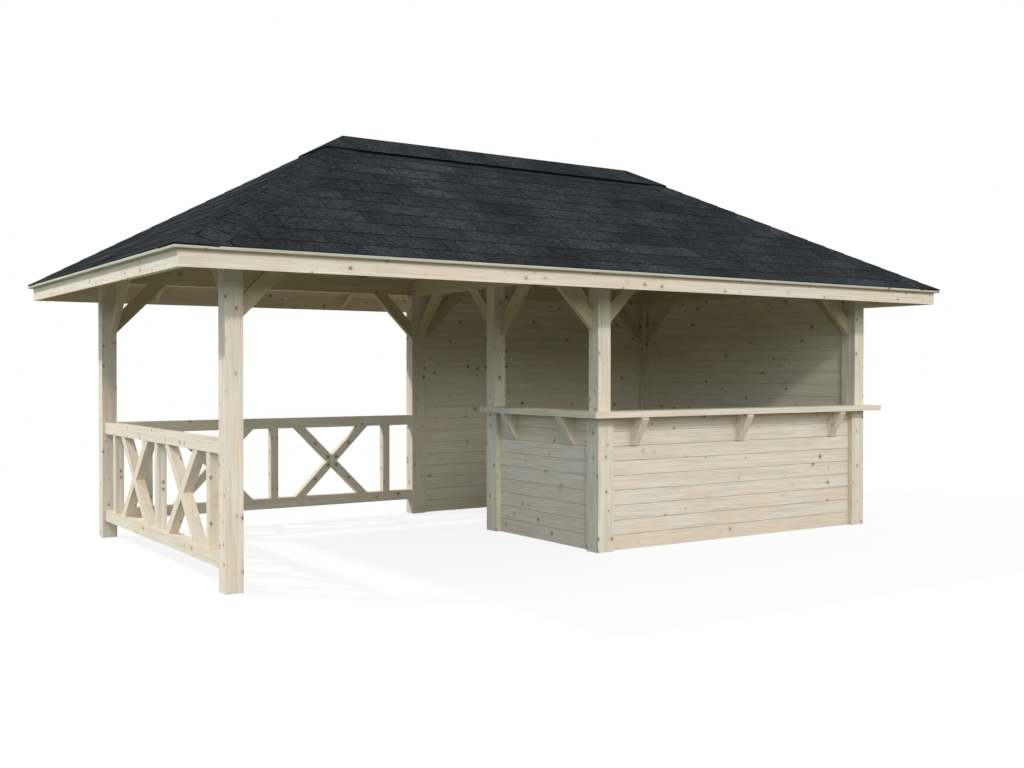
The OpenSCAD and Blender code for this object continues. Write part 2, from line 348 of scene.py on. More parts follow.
@dataclass(frozen=True)
class SpruceFinish:
    """Planed raw spruce with streaks, year rings, fibres and small knots."""

    name: str
    pale: Colour = (0.76, 0.682, 0.548)
    streak: Colour = (0.62, 0.52, 0.385)
    blush: Colour = (0.75, 0.61, 0.455)
    halo: Colour = (0.52, 0.39, 0.25)
    knot: Colour = (0.17, 0.125, 0.085)
    knot_cells: float = 11.0
    knot_share: float = 0.35
    knot_stretch: Triple = (0.8, 1.0, 1.0)
    knot_sizes: Span = (0.35, 1.5)
    knot_edge: Span = (0.15, 0.08)
    knot_cover: float = 0.85
    halo_edge: Span = (0.34, 0.10)
    halo_cover: float = 0.45
    streaks: Layer = Layer((1.3, 26.0, 26.0), 5.0, 0.40, 0.70, 0.8, 0.74)
    drift: Layer = Layer((2.2, 11.0, 11.0), 2.0, 0.46, 0.66, 0.65)
    ring_stretch: Triple = (0.12, 1.0, 0.6)
    ring_scale: float = 22.0
    ring_bend: float = 7.0
    ring_edge: Span = (0.6, 1.0)
    ring_cover: float = 0.3
    tone_scale: float = 0.7
    tone_edge: Span = (0.45, 0.95)
    tone_cover: float = 0.6
    fibre_stretch: Triple = (5.0, 230.0, 230.0)
    fibre_shade: float = 0.24
    figure_stretch: Triple = (2.6, 80.0, 80.0)
    figure_shade: float = 0.36
    least_shade: float = 0.70
    roughness: Span = (0.52, 0.72)
    gloss: float = 0.12
    relief: float = 0.0006
    relief_strength: float = 0.25
    ring_relief: float = 0.5

    def material(self, grain: Grain) -> bpy.types.Material:
        """Makes the finish for one way of the grain.

        Args:
            grain: the way the fibres run.

        Returns:
            The material, made once for each way.
        """
        label = f"{self.name}_{grain.name.lower()}"
        if label in bpy.data.materials:
            return bpy.data.materials[label]
        desk = MaterialDesk(label)
        if grain is Grain.BOARD:
            mark = desk.attribute("grain").outputs["Vector"]
            measure = list(desk.put("SeparateXYZ", {0: mark}).outputs)
            tone = desk.attribute("tone").outputs["Fac"]
        else:
            measure = GRAIN_RULES[grain].measure(desk)
            tone = desk.noise(desk.put("TexCoord").outputs["Object"], self.tone_scale, 1.0)
        fibres = desk.noise(desk.stretched(measure, self.fibre_stretch), 1.0, 2.0)
        rings = desk.put("TexWave", {
            "Vector": desk.stretched(measure, self.ring_stretch), "Scale": self.ring_scale,
            "Distortion": self.ring_bend, "Detail": 2.0, "Detail Scale": 0.6,
        }, bands_direction="Y").outputs["Fac"]
        ringed = desk.calc("MULTIPLY", desk.ease(rings, *self.ring_edge), self.ring_cover)
        toned = desk.calc("MULTIPLY", desk.ease(tone, *self.tone_edge), self.tone_cover)
        colour = desk.blend(self.streaks.cover(desk, measure), self.pale, self.streak)
        colour = desk.blend(ringed, colour, self.streak)
        colour = desk.blend(self.drift.cover(desk, measure), colour, self.blush)
        colour = desk.blend(toned, colour, self.blush)
        figure = desk.noise(desk.stretched(measure, self.figure_stretch), 1.0, 2.0)
        shade = desk.calc("MULTIPLY_ADD", figure, self.figure_shade, self.least_shade)
        shade = desk.calc("MULTIPLY_ADD", fibres, self.fibre_shade, shade)
        colour = self.knotted(desk, measure, desk.dimmed(colour, shade))
        desk.dress(colour, desk.between(fibres, self.roughness), self.gloss)
        height = desk.calc("ADD", fibres, desk.calc("MULTIPLY", rings, self.ring_relief))
        desk.emboss(height, self.relief_strength, self.relief)
        return desk.material

    def knotted(
        self, desk: NodeDesk, measure: Sequence[object], colour: bpy.types.NodeSocket,
    ) -> bpy.types.NodeSocket:
        """Lays knots of several sizes over the wood, each with a halo.

        Args:
            desk: the material's nodes.
            measure: the measures along the fibres, across them and into the timber.
            colour: the wood's colour.

        Returns:
            The socket with the colour of wood and knots.
        """
        cells = desk.spots(desk.stretched(measure, self.knot_stretch), self.knot_cells)
        chance = desk.put("SeparateColor", {0: cells.outputs["Color"]}).outputs
        kept = desk.calc("LESS_THAN", chance[0], self.knot_share)
        size = desk.between(chance[1], self.knot_sizes)
        reach = desk.calc("DIVIDE", cells.outputs["Distance"], size)
        marks = (
            (self.halo_edge, self.halo_cover, self.halo),
            (self.knot_edge, self.knot_cover, self.knot))
        for edge, cover, tint in marks:
            share = desk.calc("MULTIPLY", kept, desk.ease(reach, *edge))
            colour = desk.blend(desk.calc("MULTIPLY", share, cover), colour, tint)
        return colour


@dataclass(frozen=True)
class Mottle:
    """Noise that lightens and darkens a face, from dark where it is 0 to light where it is 1."""

    scale: float
    detail: float
    shades: Span
    roughness: float = 0.5

    def read(self, desk: NodeDesk, place: object) -> bpy.types.NodeSocket:
        """Reads the noise at a place."""
        return desk.noise(place, self.scale, self.detail, self.roughness)


@dataclass(frozen=True)
class ShingleFinish:
    """Mineral grains on bitumen, darker where a shingle is cut, and painted shade and shadow in its
    gaps.
    """

    name: str
    grains: Colour = (0.0262, 0.0302, 0.0322)
    warm: Colour = (0.0314, 0.0304, 0.0300)
    # dark bitumen of the cut edges, also laid on the sheet as painted shade in the slots between
    # tabs
    cut: Colour = (0.0105, 0.0118, 0.0128)
    # near-black painted shadow, for the raised ridge cap's body and the slits of the hip caps
    gap: Colour = (0.0035, 0.0036, 0.0038)
    specks: Mottle = Mottle(420.0, 1.0, (0.65, 1.35))
    clumps: Mottle = Mottle(38.0, 3.0, (0.5, 1.5), 0.7)
    clump_edge: Span = (0.28, 0.72)
    patches: Mottle = Mottle(3.5, 3.0, (0.55, 1.45), 0.6)
    weather: Mottle = Mottle(1.3, 2.0, (0.35, 1.65))
    crumbs: Mottle = Mottle(300.0, 2.0, (0.6, 1.4))
    tones: Span = (0.85, 1.15)
    stain: Layer = Layer((4.5, 4.5, 4.5), 3.0, 0.46, 0.66, 0.5, 0.6)
    roughness: Span = (0.75, 0.95)
    face_relief: float = 0.0012
    face_strength: float = 0.5
    edge_relief: float = 0.001
    edge_strength: float = 0.4

    def face(self) -> bpy.types.Material:
        """Makes the grained upper face of the shingles.

        Returns:
            The material.
        """
        desk = MaterialDesk(self.name + "_face")
        place = desk.attribute("grain").outputs["Vector"]
        specks = self.specks.read(desk, place)
        clumps = desk.ease(self.clumps.read(desk, place), *self.clump_edge)
        weather = self.weather.read(desk, desk.put("TexCoord").outputs["Object"])
        shades = [
            desk.between(specks, self.specks.shades),
            desk.between(clumps, self.clumps.shades),
            desk.between(self.patches.read(desk, place), self.patches.shades),
            desk.between(desk.attribute("tone").outputs["Fac"], self.tones),
            desk.between(weather, self.weather.shades)]
        shade = reduce(partial(desk.calc, "MULTIPLY"), shades)
        measure = desk.put("SeparateXYZ", {0: place}).outputs
        colour = desk.blend(self.stain.cover(desk, measure), self.grains, self.warm)
        desk.dress(desk.dimmed(colour, shade), desk.between(specks, self.roughness), 0.0)
        desk.emboss(desk.calc("ADD", specks, clumps), self.face_strength, self.face_relief)
        return desk.material

    def edge(self, suffix: str, bitumen: Colour) -> bpy.types.Material:
        """Makes the cut edges' bitumen, which also paints shade in the slots, or near-black painted
        shadow.

        Args:
            suffix: what is added to the finish's name.
            bitumen: its colour.

        Returns:
            The material.
        """
        desk = MaterialDesk(self.name + suffix)
        crumbs = self.crumbs.read(desk, desk.attribute("grain").outputs["Vector"])
        colour = desk.dimmed(bitumen, desk.between(crumbs, self.crumbs.shades))
        desk.dress(colour, desk.between(crumbs, self.roughness), 0.0)
        desk.emboss(crumbs, self.edge_strength, self.edge_relief)
        return desk.material


@dataclass
class PieceMesh:
    """Gathers the faces of one piece with the grain and tone of each point."""

    name: str
    points: list[Vector] = field(default_factory=list)
    faces: list[list[int]] = field(default_factory=list)
    slots: list[int] = field(default_factory=list)
    grain: list[Vector] = field(default_factory=list)
    tone: list[float] = field(default_factory=list)

    def loft(
        self, rings: Sequence[Sequence[Vector]], grains: Sequence[Sequence[Vector]], tone: float,
        slots: tuple[int, int, int] = (0, 0, 0),
    ) -> None:
        """Joins two rings of points into a closed solid.

        Args:
            rings: the first and last ring, with as many points each.
            grains: the measure along, across and into the piece at each point.
            tone: the solid's own tone, from 0 to 1.
            slots: material places of the first cap, the last cap and the sides.
        """
        start = len(self.points)
        count = len(rings[0])
        for ring, marks in zip(rings, grains):
            self.points += ring
            self.grain += marks
            self.tone += [tone] * count
        first = [start + k for k in range(count)]
        last = [start + count + k for k in range(count)]
        self.faces += [first[::-1], last]
        self.slots += [slots[0], slots[1]]
        for k in range(count):
            after = (k + 1) % count
            self.faces.append([first[k], first[after], last[after], last[k]])
            self.slots.append(slots[2])

    def refinish(self, start: int, slot: int) -> None:
        """Gives the faces from a number on another material place."""
        self.slots[start:] = [slot] * (len(self.faces) - start)

    def finish(
        self, materials: Sequence[bpy.types.Material], record_slot: str, nodes: Sequence[str],
    ) -> bpy.types.Object:
        """Makes the object and ties it to the frame.

        Args:
            materials: the materials of the faces, by place.
            record_slot: the record's material slot; not used.
            nodes: the CAD nodes that this piece stands for.

        Returns:
            The new object.
        """
        mesh = bpy.data.meshes.new(self.name)
        mesh.from_pydata([tuple(p) for p in self.points], [], self.faces)
        mesh.polygons.foreach_set("material_index", self.slots)
        grain = mesh.attributes.new("grain", "FLOAT_VECTOR", "POINT")
        grain.data.foreach_set("vector", [c for mark in self.grain for c in mark])
        tone = mesh.attributes.new("tone", "FLOAT", "POINT")
        tone.data.foreach_set("value", self.tone)
        for material in materials:
            mesh.materials.append(material)
        mesh.update()
        piece = bpy.data.objects.new(self.name, mesh)
        bpy.context.scene.collection.objects.link(piece)
        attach(piece, "root")
        if nodes:
            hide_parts(*nodes)
        LOG.info("%s: %d faces", self.name, len(self.faces))
        return piece


@dataclass
class TimberFrame:
    """Posts, beams, braces, rails, counter and rafters, whose shapes come from the solids."""

    finish: SpruceFinish
    counter_finish: SpruceFinish
    # darker, warmer copy of the spruce for the timbers under the roof: painted shade
    shaded_roof_finish: SpruceFinish
    timbers: Groups = (
        (Grain.ALONG_Z, (
            "post_front_left", "post_front_middle", "post_front_right", "post_back_left",
            "post_back_middle", "post_back_right", "post_bar", "wall_battens")),
        (Grain.ALONG_X, ("fascia_front", "fascia_back", "back_rails")),
        (Grain.ALONG_Y, ("fascia_left", "fascia_right", "left_rails")),
        (Grain.LEFT_CROSS, ("left_infill",)),
        (Grain.BACK_CROSS, ("back_infill",)))
    counters: Groups = (
        (Grain.ALONG_X, ("counter_front",)),
        (Grain.ALONG_Y, ("counter_side",)),
        (Grain.ALONG_Z, ("counter_brackets",)))
    overhead: Groups = (
        (Grain.ALONG_X, ("beam_front", "beam_back", "ridge_board")),
        (Grain.ALONG_Y, ("beam_left", "beam_right", "beam_middle")),
        (Grain.LONG_BRACE, ("braces_front", "braces_back")),
        (Grain.END_BRACE, ("braces_left", "braces_right")),
        (Grain.MIDDLE_BRACE, ("braces_middle",)),
        (Grain.LONG_RAFTER, ("long_rafters",)),
        (Grain.END_RAFTER, ("end_rafters",)),
        (Grain.HIP_RAFTER, ("hip_rafters",)))

    def dress(self) -> None:
        """Gives each solid the spruce with its own way of grain."""
        dressed = (
            (self.finish, self.timbers), (self.counter_finish, self.counters),
            (self.shaded_roof_finish, self.overhead))
        for finish, groups in dressed:
            for grain, nodes in groups:
                for node in nodes:
                    self.paint(node, finish.material(grain))

    def paint(self, node: str, material: bpy.types.Material) -> None:
        """Puts a material in every slot of a CAD node.

        Args:
            node: the node's name.
            material: the material.
        """
        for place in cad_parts[node].material_slots:
            place.material = material
        LOG.info("%s: %s", node, material.name)


@dataclass
class BoardWall:
    """Level boards between two posts, with a V joint at each meeting edge."""

    node: str
    start: Span
    end: Span
    height: float
    finish: SpruceFinish
    seed: int
    thickness: float = 0.028
    cover: float = 0.117
    chamfer: float = 0.0015
    tongue: float = 0.008
    gap: float = 0.003

    def build(self) -> bpy.types.Object:
        """Cuts the boards from the ground up.

        Returns:
            The wall.
        """
        mesh = PieceMesh(self.node + "_boards")
        luck = random.Random(self.seed)
        start = Vector((*self.start, 0.0))
        run = Vector((*self.end, 0.0)) - start
        out = Vector((run.y, -run.x, 0.0)).normalized()
        low = 0.0
        while low < self.height - HAIR:
            high = min(low + self.cover, self.height)
            section = self.section(low, high)
            shift = luck.uniform(0.0, BOARD_SHIFT)
            ends = []
            marks = []
            for share in (0.0, 1.0):
                foot = start + run * share
                along = shift + run.length * share
                ends.append([foot + out * d + Vector((0.0, 0.0, z)) for z, d in section])
                marks.append([Vector((along, z - low + shift, d)) for z, d in section])
            mesh.loft(ends, marks, luck.random())
            low = high
        return mesh.finish([self.finish.material(Grain.BOARD)], "wall_boards", [self.node])

    def section(self, low: float, high: float) -> list[Span]:
        """Draws one board's profile.

        Args:
            low: its lower edge.
            high: its upper edge.

        Returns:
            Points of height and depth, in order.
        """
        half, c, t = self.thickness / 2, self.chamfer, self.tongue / 2
        inner = t + self.gap
        bottom = low if low == 0.0 else low + self.gap
        head = bottom + 2 * inner
        groove = [] if low == 0.0 else [
            (bottom, -inner), (head, -inner), (head, inner), (bottom, inner)]
        tip = high + 2 * t
        tongue = [] if high == self.height else [(high, t), (tip, t), (tip, -t), (high, -t)]
        return [
            (bottom, -half + c), *groove, (bottom, half - c), (bottom + c, half), (high - c, half),
            (high, half - c), *tongue, (high, -half + c), (high - c, -half), (bottom + c, -half)]


@dataclass(frozen=True)
class Slope:
    """One slope of the roof, measured along its eave, inwards from it and up."""

    side: Side

    @property
    def half(self) -> float:
        """Half the length of the eave."""
        return HALF_LENGTH if self.side in (Side.FRONT, Side.BACK) else HALF_WIDTH

    @property
    def length(self) -> float:
        """Length up the slope, from the eave to the top."""
        return HALF_WIDTH * PLUMB

    def place(self, along: float, up: float, height: float) -> Vector:
        """Finds a place on the slope.

        Args:
            along: distance along the eave from its middle, to the right seen from outside.
            up: distance up the slope from the eave.
            height: plumb height over the underside of the deck.

        Returns:
            The place in the part's frame.
        """
        inset = up / PLUMB
        z = DECK_UNDERSIDE + inset * RISE + height
        if self.side is Side.FRONT:
            return Vector((along, -HALF_WIDTH + inset, z))
        if self.side is Side.BACK:
            return Vector((-along, HALF_WIDTH - inset, z))
        if self.side is Side.LEFT:
            return Vector((-HALF_LENGTH + inset, -along, z))
        return Vector((HALF_LENGTH - inset, along, z))

    def clip(self, outline: Sequence[Span]) -> list[Span]:
        """Cuts an outline to the slope, along the eave, the hips and the top.

        Args:
            outline: points along the eave and up the slope, in order.

        Returns:
            The points that are left.
        """
        limits: list[Height] = [
            lambda a, u: u, lambda a, u: self.length - u,
            lambda a, u: self.half - u / PLUMB - a, lambda a, u: self.half - u / PLUMB + a]
        points = list(outline)
        for room in limits:
            kept: list[Span] = []
            for k, (a, u) in enumerate(points):
                last_a, last_u = points[k - 1]
                here, before = room(a, u), room(last_a, last_u)
                if (here < 0.0) != (before < 0.0):
                    share = before / (before - here)
                    kept.append((last_a + (a - last_a) * share, last_u + (u - last_u) * share))
                if here >= 0.0:
                    kept.append((a, u))
            points = kept
        tidy = [p for k, p in enumerate(points) if math.dist(p, points[k - 1]) > SAME_POINT]
        return tidy if len(tidy) > 2 else []


SLOPES = [Slope(side) for side in Side]


def flat_top(height: float) -> Height:
    """Gives the same height at every point."""
    return lambda a, u: height


def play(luck: random.Random, most: float) -> float:
    """Draws a small step either way."""
    return luck.uniform(-most, most)


def lay_plate(
    mesh: PieceMesh, slope: Slope, outline: Sequence[Span], top: Height, thickness: float,
    tone: float, shift: float,
) -> None:
    """Lays a thin plate on a slope.

    Args:
        mesh: the piece that it goes into.
        slope: the slope that it lies on.
        outline: points along the eave and up the slope.
        top: the height of its upper face at a point.
        thickness: its plumb thickness.
        tone: its tone, from 0 to 1.
        shift: moves its pattern of grains.
    """
    points = slope.clip(outline)
    if not points:
        return
    upper = [slope.place(a, u, top(a, u)) for a, u in points]
    lower = [slope.place(a, u, top(a, u) - thickness) for a, u in points]
    marks = [Vector((a + shift, u + shift, shift)) for a, u in points]
    mesh.loft([lower, upper], [marks, marks], tone, (CUT_EDGE_AND_SLOT_SHADE_PLACE, FACE_PLACE, CUT_EDGE_AND_SLOT_SHADE_PLACE))


@dataclass
class RoofDeck:
    """Boards along the eaves of the four slopes, mitred at the hips, with V joints below."""

    # the deck boards take the darker, warmer copy of the spruce: painted shade
    finish: SpruceFinish
    edge_finish: SpruceFinish
    seed: int = 40
    thickness: float = 0.019
    cover: float = 0.1168
    chamfer: float = 0.004
    eave_chamfer: float = 0.009
    least_board: float = 0.01
    edge_face: int = 2
    top_face: int = 7

    def build(self) -> None:
        """Boards the four slopes, with the edge finish on what shows of the first boards."""
        materials = [finish.material(Grain.BOARD) for finish in (self.finish, self.edge_finish)]
        for number, slope in enumerate(SLOPES):
            mesh = PieceMesh(f"deck_{slope.side.value}_boards")
            luck = random.Random(self.seed + number)
            low = 0.0
            while low < slope.length - self.least_board:
                high = min(low + self.cover, slope.length)
                self.board(mesh, slope, low, high, luck)
                low = high
            mesh.slots[self.edge_face] = mesh.slots[self.top_face] = 1
            mesh.finish(materials, "roof_boards", [f"deck_{slope.side.value}"])

    def board(
        self, mesh: PieceMesh, slope: Slope, low: float, high: float, luck: random.Random,
    ) -> None:
        """Cuts one board from hip to hip.

        Args:
            mesh: the slope's boards.
            slope: the slope.
            low: how far up the slope its lower edge lies.
            high: how far up its upper edge lies.
            luck: gives its pattern and tone.
        """
        c, plumb = self.chamfer, self.thickness * PLUMB
        outer = c if low else self.eave_chamfer
        section = [
            (low, plumb), (low, outer), (low + outer, 0.0),
            (high - c, 0.0), (high, c), (high, plumb)]
        shift = luck.uniform(0.0, BOARD_SHIFT)
        ends = []
        marks = []
        for way in WAYS:
            ends.append([slope.place(way * (slope.half - u / PLUMB), u, h) for u, h in section])
            along = shift + way * slope.half
            marks.append([Vector((along, u - low + shift, h)) for u, h in section])
        mesh.loft(ends, marks, luck.random())


@dataclass(frozen=True)
class HipCap:
    """One wing of a cap over a hip, measured up along the hip and out across it."""

    slope: Slope
    way: float
    start: float
    reach: float

    def outline(self, low: float, high: float, inner: float, outer: float) -> list[Span]:
        """Draws a strip of the wing.

        Args:
            low: where it starts along the hip.
            high: where it ends along the hip.
            inner: its edge at the fold.
            outer: its edge away from the fold.

        Returns:
            Points along the eave and up the slope, in order.
        """
        corners = [(low, inner), (low, outer), (high, outer), (high, inner)]
        points = [
            (self.way * (t * HIP_RUN + w * HIP_RISE - self.slope.half), t * HIP_RISE - w * HIP_RUN)
            for t, w in corners]
        return points[::-1] if self.way < 0.0 else points

    def measure(self, along: float, up: float) -> Span:
        """Measures a point of the slope along the hip and across it.

        Args:
            along: distance along the eave from its middle.
            up: distance up the slope.

        Returns:
            The share of the cap's length and the distance from the fold.
        """
        beside = self.way * along + self.slope.half
        share = (beside * HIP_RUN + up * HIP_RISE - self.start) / self.reach
        return share, beside * HIP_RISE - up * HIP_RUN


@dataclass
class ShingleRoof:
    """Courses of square tabs on the four slopes, caps over the hips and a raised ridge cap."""

    finish: ShingleFinish
    course_seed: int = 60
    hip_seed: int = 71
    cap_seed: int = 83
    setback: float = 0.010
    first_course: float = 0.16
    exposure: float = 0.1975
    least_course: float = 0.05
    lap: float = 0.03
    tab: float = 0.45
    slot: float = 0.007
    left_play: float = 0.004
    right_play: float = 0.002
    drop_play: float = 0.004
    thickness: float = 0.0046
    seat: float = 0.0004
    sheet: float = 0.001
    deck_top: float = 0.0219
    hip_half: float = 0.21
    hip_play: float = 0.006
    hip_flat: float = 0.15
    hip_first: float = 0.2
    hip_exposure: float = 0.178
    hip_reach: float = 2.82
    hip_lift: float = 1.9
    hip_seat: float = 0.1
    slit: float = 0.11
    slit_from: float = 0.036
    slit_to: float = 0.045
    cap_out: float = 0.27
    cap_exposure: float = 0.2
    cap_seat: float = 0.007
    cap_body: float = 0.0145
    cap_sheet: float = 0.003
    cap_play: float = 0.0012
    least_cap: float = 0.01

    def build(self) -> None:
        """Lays the courses, then the caps."""
        finish = self.finish
        # the third material is near-black painted shadow
        materials = [
            finish.face(), finish.edge("_edge", finish.cut), finish.edge("_gap", finish.gap)]
        for number, slope in enumerate(SLOPES):
            nodes = [f"shingles_{slope.side.value}"]
            self.courses(slope, number).finish(materials, "bitumen_shingle", nodes)
        self.hip_caps().finish(materials, "bitumen_shingle", [])
        self.ridge_cap().finish(materials, "bitumen_shingle", ["ridge_cap"])

    def courses(self, slope: Slope, number: int) -> PieceMesh:
        """Lays the courses of one slope on a thin sheet, dark as painted shade in the slots.

        Args:
            slope: the slope.
            number: its number, for its own luck.

        Returns:
            The courses.
        """
        mesh = PieceMesh(f"shingle_courses_{slope.side.value}")
        luck = random.Random(self.course_seed + number)
        half, length = slope.half, slope.length
        sheet = [(-half, self.setback), (half, self.setback), (half, length), (-half, length)]
        sheet_top = flat_top(self.deck_top + self.sheet)
        lay_plate(mesh, slope, sheet, sheet_top, self.sheet, 0.0, 0.0)
        # the whole sheet takes the dark cut colour: painted shade in the slots between tabs
        mesh.refinish(0, CUT_EDGE_AND_SLOT_SHADE_PLACE)
        low, row = self.setback, 0
        while low < length - self.least_course:
            exposed = self.exposure if row else self.first_course - self.setback
            reach = exposed + self.lap
            top = partial(self.course_height, low, reach)
            phase = (row % 2) * self.tab / 2
            count = int(half / self.tab) + 2
            for k in range(-count, count):
                left = k * self.tab + phase + self.slot / 2 + play(luck, self.left_play)
                right = (k + 1) * self.tab + phase - self.slot / 2 + play(luck, self.right_play)
                foot = low + (play(luck, self.drop_play) if row else 0.0)
                head = low + reach
                outline = [(left, foot), (right, foot), (right, head), (left, head)]
                tone, shift = luck.random(), luck.uniform(0.0, SHINGLE_SHIFT)
                lay_plate(mesh, slope, outline, top, self.thickness, tone, shift)
            low += exposed
            row += 1
        return mesh

    def course_height(self, start: float, reach: float, along: float, up: float) -> float:
        """Gives the height of a lapped course at a point, highest at its lower edge."""
        fall = self.thickness + self.seat
        return self.deck_top + self.sheet + fall - fall * (up - start) / reach

    def hip_caps(self) -> PieceMesh:
        """Folds caps over the four hips, from the eaves up.

        Returns:
            The caps.
        """
        mesh = PieceMesh("hip_caps")
        luck = random.Random(self.hip_seed)
        for slope in SLOPES:
            for way in WAYS:
                start, row = 0.0, 0
                while start < self.hip_reach:
                    exposed = self.hip_exposure if row else self.hip_first
                    cap = HipCap(slope, way, start, exposed + self.lap)
                    self.fold_cap(mesh, cap, bool(row % 2), luck)
                    start += exposed
                    row += 1
        return mesh

    def fold_cap(self, mesh: PieceMesh, cap: HipCap, slitted: bool, luck: random.Random) -> None:
        """Lays one wing of a hip cap, with a sunk insert of painted shadow where it has a slit.

        Args:
            mesh: the caps.
            cap: the wing.
            slitted: whether it has a slit.
            luck: gives its tone, its pattern and its width.
        """
        tone, shift = luck.random(), luck.uniform(0.0, SHINGLE_SHIFT)
        wing = self.hip_half + play(luck, self.hip_play)
        start, end, split = cap.start, cap.start + cap.reach, cap.start + self.slit
        strips = [(start, end, 0.0, self.hip_flat, 0.0)]
        if slitted:
            strips = [
                (start, split, 0.0, self.slit_from, 0.0),
                (start, split, self.slit_to, self.hip_flat, 0.0),
                (split, end, 0.0, self.hip_flat, 0.0)]
        strips.append((start, end, self.hip_flat, wing, 0.0))
        if slitted:
            strips.append((start, split, self.slit_from, self.slit_to, self.thickness / 2))
        for *edges, sunk in strips:
            count = len(mesh.faces)
            top = partial(self.cap_height, cap, sunk)
            outline = cap.outline(*edges)
            lay_plate(mesh, cap.slope, outline, top, 2 * self.thickness, tone, shift)
            # the sunk insert in the slit is near-black painted shadow
            if sunk:
                mesh.refinish(count, PAINTED_SHADOW_PLACE)

    def cap_height(self, cap: HipCap, sunk: float, along: float, up: float) -> float:
        """Gives the height of a hip cap, which falls up the hip and from the flat part outwards.

        Args:
            cap: the wing.
            sunk: how far the strip lies below the cap's face.
            along: distance along the eave from its middle.
            up: distance up the slope.

        Returns:
            The height over the underside of the deck.
        """
        share, across = cap.measure(along, up)
        beyond = max(0.0, across - self.hip_flat) / (self.hip_half - self.hip_flat)
        lift = self.hip_seat + (self.hip_lift - share) * (1.0 - beyond)
        return self.deck_top + self.sheet + self.thickness + self.thickness * lift - sunk

    def ridge_cap(self) -> PieceMesh:
        """Lays the raised cap over the ridge and the heads of the hips.

        Returns:
            The cap.
        """
        mesh = PieceMesh("ridge_cap_shingles")
        luck = random.Random(self.cap_seed)
        body_top = self.deck_top + self.cap_seat + self.cap_body
        for slope in SLOPES:
            high = slope.length
            low = high - self.cap_out * PLUMB
            wide = slope.half - low / PLUMB
            body = [(-wide, low), (wide, low), (wide, high), (-wide, high)]
            # the cap's body, sides included, is near-black painted shadow under the raised cap
            count = len(mesh.faces)
            lay_plate(mesh, slope, body, flat_top(body_top), self.cap_body, 0.5, 0.0)
            mesh.refinish(count, PAINTED_SHADOW_PLACE)
            left = -wide
            while left < wide - self.least_cap:
                right = min(left + self.cap_exposure, wide)
                outline = [(left, low), (right, low), (right, high), (left, high)]
                top = flat_top(body_top + self.cap_sheet + luck.uniform(0.0, self.cap_play))
                tone, shift = luck.random(), luck.uniform(0.0, SHINGLE_SHIFT)
                lay_plate(mesh, slope, outline, top, self.cap_sheet, tone, shift)
                left = right
        return mesh


@dataclass(frozen=True)
class Softbox:
    """Lamp far off, given by where it hangs and how bright a white face turned to it looks."""

    name: str
    azimuth: float
    elevation: float
    level: float
    width: float
    height: float
    tint: Colour = (1.0, 1.0, 1.0)
    distance: float = 40.0
    aim: Triple = (0.0, 0.0, 1.5)

    def hang(self) -> None:
        """Hangs the lamp, turned to the middle of the gazebo."""
        lamp = bpy.data.lights.new(self.name, "AREA")
        lamp.shape = "RECTANGLE"
        lamp.size, lamp.size_y = self.width, self.height
        lamp.color = self.tint
        lamp.energy = self.level * (math.pi * self.distance) ** 2
        around, up = math.radians(self.azimuth), math.radians(self.elevation)
        level = math.cos(up)
        way = Vector((math.sin(around) * level, -math.cos(around) * level, math.sin(up)))
        holder = bpy.data.objects.new(self.name, lamp)
        holder.location = Vector(self.aim) + way * self.distance
        holder.rotation_euler = way.to_track_quat("Z", "Y").to_euler()
        bpy.context.scene.collection.objects.link(holder)


